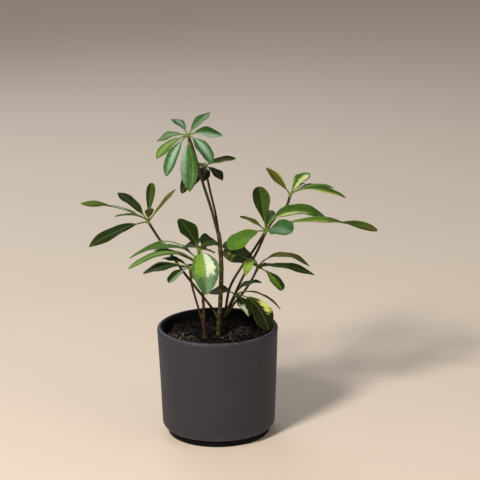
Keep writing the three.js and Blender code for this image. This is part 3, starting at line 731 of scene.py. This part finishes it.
def build_soil(material):
    rng = np.random.default_rng(SOIL_SEED)
    mesh = Mesh()
    reach = pot_radius(SOIL_LEVEL) - WALL
    rings, sides = SOIL_RINGS, SOIL_SIDES
    radii = reach * (np.arange(1, rings + 1) / rings)
    angles = np.linspace(0, 2 * math.pi, sides, endpoint=False)
    r, a = np.meshgrid(radii, angles, indexing="ij")
    x, y = r * np.cos(a), r * np.sin(a)
    grids = [rng.random((64, 64)) for _ in SOIL_BUMPS]
    rough = sum(h * (value_noise(x, y, cell, grid) - 0.5) for (h, cell), grid in zip(SOIL_BUMPS, grids))
    z = soil_height(x, y) + rough
    z += 1.2 * smoothstep(reach - 5, reach, r) * value_noise(x, y, 3, grids[1])
    verts = np.stack([x.ravel(), y.ravel(), z.ravel()], 1)
    verts = np.concatenate([verts, [(0, 0, float(z[0].mean()))]])
    wall = np.stack([x[-1], y[-1], np.full(sides, SOIL_LEVEL - SOIL_SKIRT)], 1)
    verts = np.concatenate([verts, wall])
    centre = rings * sides
    faces = [(centre, j, (j + 1) % sides) for j in range(sides)]
    for i in range(rings - 1):
        for j in range(sides):
            k = (j + 1) % sides
            faces.append((i * sides + j, (i + 1) * sides + j, (i + 1) * sides + k, i * sides + k))
    last = (rings - 1) * sides
    for j in range(sides):
        k = (j + 1) % sides
        faces.append((last + j, centre + 1 + j, centre + 1 + k, last + k))
    faces.append(tuple(centre + 1 + j for j in range(sides - 1, -1, -1)))
    tone = np.zeros((len(verts), 3))
    # Painted light: the surface round the lit clumps is flecked lighter
    lit = sum(np.exp(-((verts[:, 0] - cx) ** 2 + (verts[:, 1] - cy) ** 2) / (0.5 * r * r))
              for cx, cy, r, _ in (SOIL_CLUMPS[i] for i in LIT_CLUMPS))
    flecks = value_noise(verts[:, 0], verts[:, 1], 1.6, grids[2])
    tone[:, 0] = (0.15 + 0.85 * np.clip(lit, 0, 1)) * smoothstep(0.5, 0.85, flecks)
    mesh.add(verts, faces, tone=tone)
    add_crumbs(mesh, rng, reach)
    return mesh.piece("potting_soil", material, "soil", ["soil"])


# Stems

def ring_scars(along, spacing, first):
    """0 to 1, high where an old leaf left a ring."""
    beat = (along - first) / spacing
    near = np.abs(beat - np.round(beat)) * spacing
    return np.exp(-((near / 0.55) ** 2)) * (along > first - 1)


def add_shoot(mesh, points, radius, woody):
    route, along = smooth_route(points, 1.1)
    scars = ring_scars(along, SCAR_SPACING + radius, FIRST_SCAR)
    above = route[:, 2] - SOIL_LEVEL
    radii = radius * (1 + 0.16 * np.exp(-np.clip(above, 0, None) / 5) + 0.09 * scars)
    radii *= 1 + 0.03 * np.sin(along * 0.35)
    left = along[-1] - along
    radii *= 0.62 + 0.38 * smoothstep(0, 11, left)
    radii *= np.sqrt(np.clip(1 - np.clip((2 - left) / 2.2, 0, 1) ** 2, 0.02, 1))
    verts, faces = tube(route, radii, SHOOT_SIDES)
    browned = woody + 0.25 * np.exp(-np.clip(above, 0, None) / 14)
    mesh.add(verts, faces, bark=np.repeat(np.stack([along, browned, scars], 1), SHOOT_SIDES, 0))


def add_stalk(mesh, points, radius, woody):
    route, along = smooth_route(points, 1.6)
    left = along[-1] - along
    radii = radius * (1 + 0.5 * np.exp(-along / 2.2) + 0.22 * np.exp(-left / 2.0))
    start = np.exp(-along / 1.4)
    verts, faces = tube(route, radii, STALK_SIDES)
    fade = woody * (1.1 - 0.4 * along / along[-1])
    mesh.add(verts, faces, bark=np.repeat(np.stack([along, fade, 0.4 * start], 1), STALK_SIDES, 0))


def hub_and_direction(leaf, route):
    hub = np.array(next(place for name, place, _ in LEAVES if name == leaf), float)
    direction = hub - np.array(route[-1], float)
    return hub, direction / np.linalg.norm(direction)


def build_stem(entry, material):
    name, foot, radius, woody, route, stalks = entry
    mesh = Mesh()
    heights = (HOLE_BOTTOM + SEAT_GAP, SOIL_LEVEL - STEM_UPRIGHT, SOIL_LEVEL + STEM_UPRIGHT)
    buried = [(*foot, z) for z in heights]
    end = np.array(route[-1], float) + (np.array(route[-1], float) - np.array(route[-2], float)) * 0.06
    add_shoot(mesh, [*buried, *route[:-1], tuple(end)], radius, woody)
    for leaf, stalk_radius, stalk in stalks:
        hub, direction = hub_and_direction(leaf, stalk)
        add_stalk(mesh, [*stalk, tuple(hub - direction * KNOB_LENGTH * 0.8)], stalk_radius, woody)
    return mesh.piece(name.replace("stem", "shoot"), material, "stem", [name])


# Leaves

# Points across a blade, from its left edge at -1 to its right edge at 1
COLUMNS = np.array([-1, -0.975, -0.88, -0.7, -0.5, -0.3, -0.14, -0.05, 0,
                    0.05, 0.14, 0.3, 0.5, 0.7, 0.88, 0.975, 1])


def leaflet_rows():
    """Share of the way to the tip of each row: a few on the stalk, then the blade's, closer at its ends."""
    stalk = np.linspace(0, LEAFLET_STALK_SHARE, LEAFLET_STALK_ROWS + 1)[:-1]
    even = np.linspace(0, 1, BLADE_ROWS)
    blade = 0.5 - 0.5 * np.cos(math.pi * even)
    blade = 0.35 * even + 0.65 * blade
    return np.concatenate([stalk, LEAFLET_STALK_SHARE + (1 - LEAFLET_STALK_SHARE) * blade])


def half_width(share, width, skew, fullness):
    swell = max(0.0, math.sin(math.pi * share ** skew)) ** fullness
    return max(BLADE_TIP_WIDTH, width * swell) / 2


def leaflet(hub, index, bearing, rise, length, width, bow, roll, look, twist=0, skew=BLADE_SKEW,
            fullness=BLADE_FULLNESS):
    """Points, faces and point data of one leaflet."""
    turn, lift = math.radians(bearing), math.radians(rise)
    up = Vector((0, 0, 1))
    level = Vector((math.cos(turn), math.sin(turn), 0))
    chord = level * math.cos(lift) + up * math.sin(lift)
    bulge = -level * math.sin(lift) + up * math.cos(lift)

    def point(t):
        skewed = t ** BOW_SKEW
        return Vector(hub) + chord * (length * t) + bulge * (4 * bow * length * skewed * (1 - skewed))

    verts, place, shape = [], [], []
    seed = (0.37 * index + 0.011 * hub[0] + 0.023 * hub[2]) % 1
    rows = leaflet_rows()
    for t in rows:
        tangent = (point(min(1, t + 0.02)) - point(max(0, t - 0.02))).normalized()
        degrees = roll * min(1, t / LEAFLET_STALK_SHARE) + twist * t ** TWIST_SKEW
        side = Matrix.Rotation(math.radians(degrees), 3, tangent) @ level.cross(up)
        normal = side.cross(tangent)
        share = (t - LEAFLET_STALK_SHARE) / (1 - LEAFLET_STALK_SHARE)
        half = half_width(max(share, 0), width, skew, fullness)
        blade = float(smoothstep(-0.04, 0.09, share))
        phase = 2 * math.pi * WAVE_COUNT * max(share, 0) + WAVE_LEAF_SHIFT * index
        wave = 2 * half * WAVE_SHARE
        rises = [FOLD * half + wave * math.sin(phase + shift) for shift in (0, WAVE_SIDE_SHIFT)]
        rises = [r + 0.012 * half * math.sin(3.1 * phase + 4 * seed) for r in rises]
        radius = LEAFLET_STALK_RADIUS * (0.86 + 0.35 * math.exp(-t * length / 1.6))
        for under, columns in ((0, COLUMNS), (1, COLUMNS[::-1])):
            sign = -1 if under else 1
            x = half * columns
            lift_at = np.where(columns < 0, rises[0], rises[1]) * np.abs(columns) ** 1.3
            thick = 0.24 + 0.12 * (1 - np.abs(columns))
            if under:
                thick = thick + 0.62 * (1 - 0.6 * max(share, 0)) * np.exp(-((x / 0.8) ** 2))
            else:
                thick = thick - 0.16 * np.exp(-((x / 0.55) ** 2))
            round_x = radius * np.sin(columns * math.pi / 2)
            round_z = radius * np.cos(columns * math.pi / 2) * 0.98 + 0.02
            xs = blade * x + (1 - blade) * round_x
            zs = blade * (lift_at + sign * thick) + (1 - blade) * sign * round_z
            for column, cx, cz in zip(columns, xs, zs):
                verts.append(point(t) + side * float(cx) + normal * float(cz))
                place.append((share * length, float(cx), under))
                shape.append((share, float(column), seed))
    colours = PAINTS[look]
    tone = 1 + 0.12 * math.sin(9.7 * index + hub[0])
    data = {**colours, "base": tuple(c * tone for c in colours["base"]), "place": place, "shape": shape}
    return np.array([tuple(p) for p in verts]), ring_faces(len(rows), 2 * len(COLUMNS)), data


def build_leaf(entry, material):
    name, hub, rows = entry
    mesh = Mesh()
    stalk = next(route for stem in STEMS for leaf, _, route in stem[5] if leaf == name)
    centre, direction = hub_and_direction(name, stalk)
    steps = np.array([-1.04, -0.7, -0.35, -0.1, 0.15, 0.35, 0.48, 0.55]) * KNOB_LENGTH
    widths = np.array([0.96, 0.98, 1.1, 1.28, 1.3, 1.05, 0.66, 0.2]) * NECK_RADIUS
    route = centre + steps[:, None] * direction
    verts, faces = tube(route, widths, KNOB_SIDES)
    plain = PAINTS["mid"]
    mesh.add(verts, faces, place=(-5, 0, 0), shape=(-0.2, 0, 0.5), **plain)
    for index, row in enumerate(rows):
        verts, faces, data = leaflet(hub, index, *row)
        mesh.add(verts, faces, **data)
    return mesh.piece(name.replace("leaf", "umbrella"), material, "leaf", [name])


# Scene

def area_light(name, place, aim, size, power, colour):
    light = bpy.data.lights.new(name, "AREA")
    light.shape = "DISK"
    light.size = size
    light.energy = power
    light.color = colour
    lamp = bpy.data.objects.new(name, light)
    lamp.location = place
    lamp.rotation_euler = (Vector(aim) - Vector(place)).to_track_quat("-Z", "Y").to_euler()
    bpy.context.scene.collection.objects.link(lamp)


def build_camera():
    """The photograph's view, looking 16 degrees down from about 2 m away."""
    camera = bpy.data.cameras.new("photo_camera")
    camera.sensor_width = 36.0
    camera.lens = 140.9
    camera.clip_end = 60.0
    eye = bpy.data.objects.new("photo_camera", camera)
    eye.location = (0.0, -1.9216, 0.7555)
    eye.rotation_euler = [math.radians(angle) for angle in (74.254, 0.609, -0.924)]
    bpy.context.scene.collection.objects.link(eye)
    bpy.context.scene.camera = eye


def build_floor():
    s = Shader("pale_floor")
    cloud = s.noise(s.place(), 3.0, 3.0)
    colour = s.mix(cloud, (0.76, 0.65, 0.55), (0.80, 0.69, 0.59))
    s.finish(colour, 0.85, s.bump(s.noise(s.place(), 500.0, 2.0), 0.05, 0.0005))
    mesh = bpy.data.meshes.new("floor")
    mesh.from_pydata([(-14, -14, 0), (14, -14, 0), (14, 14, 0), (-14, 14, 0)], [], [(0, 1, 2, 3)])
    mesh.materials.append(s.material)
    floor = bpy.data.objects.new("floor", mesh)
    bpy.context.scene.collection.objects.link(floor)


def build_world():
    world = bpy.data.worlds.new("studio")
    world.use_nodes = True
    background = next(n for n in world.node_tree.nodes if n.type == "BACKGROUND")
    background.inputs["Color"].default_value = (0.95, 0.92, 0.90, 1)
    background.inputs["Strength"].default_value = 0.27
    bpy.context.scene.world = world


build_camera()
build_floor()
build_world()
area_light("key", (-1.1, -1.5, 1.7), (0, 0, 0.2), 0.45, 60, (1.0, 0.93, 0.82))
area_light("fill", (1.8, -1.2, 0.9), (0, 0, 0.15), 1.4, 7, (1.0, 0.9, 0.82))
area_light("sky", (-0.5, 1.6, 1.5), (0, 0, 0.25), 1.2, 9, (0.80, 0.92, 1.0))

build_pot(pot_material())
build_soil(soil_material())
bark = stem_material()
for stem_entry in STEMS:
    build_stem(stem_entry, bark)
blade_material = leaf_material()
for leaf_entry in LEAVES:
    build_leaf(leaf_entry, blade_material)

bpy.context.scene.view_settings.view_transform = "Standard"
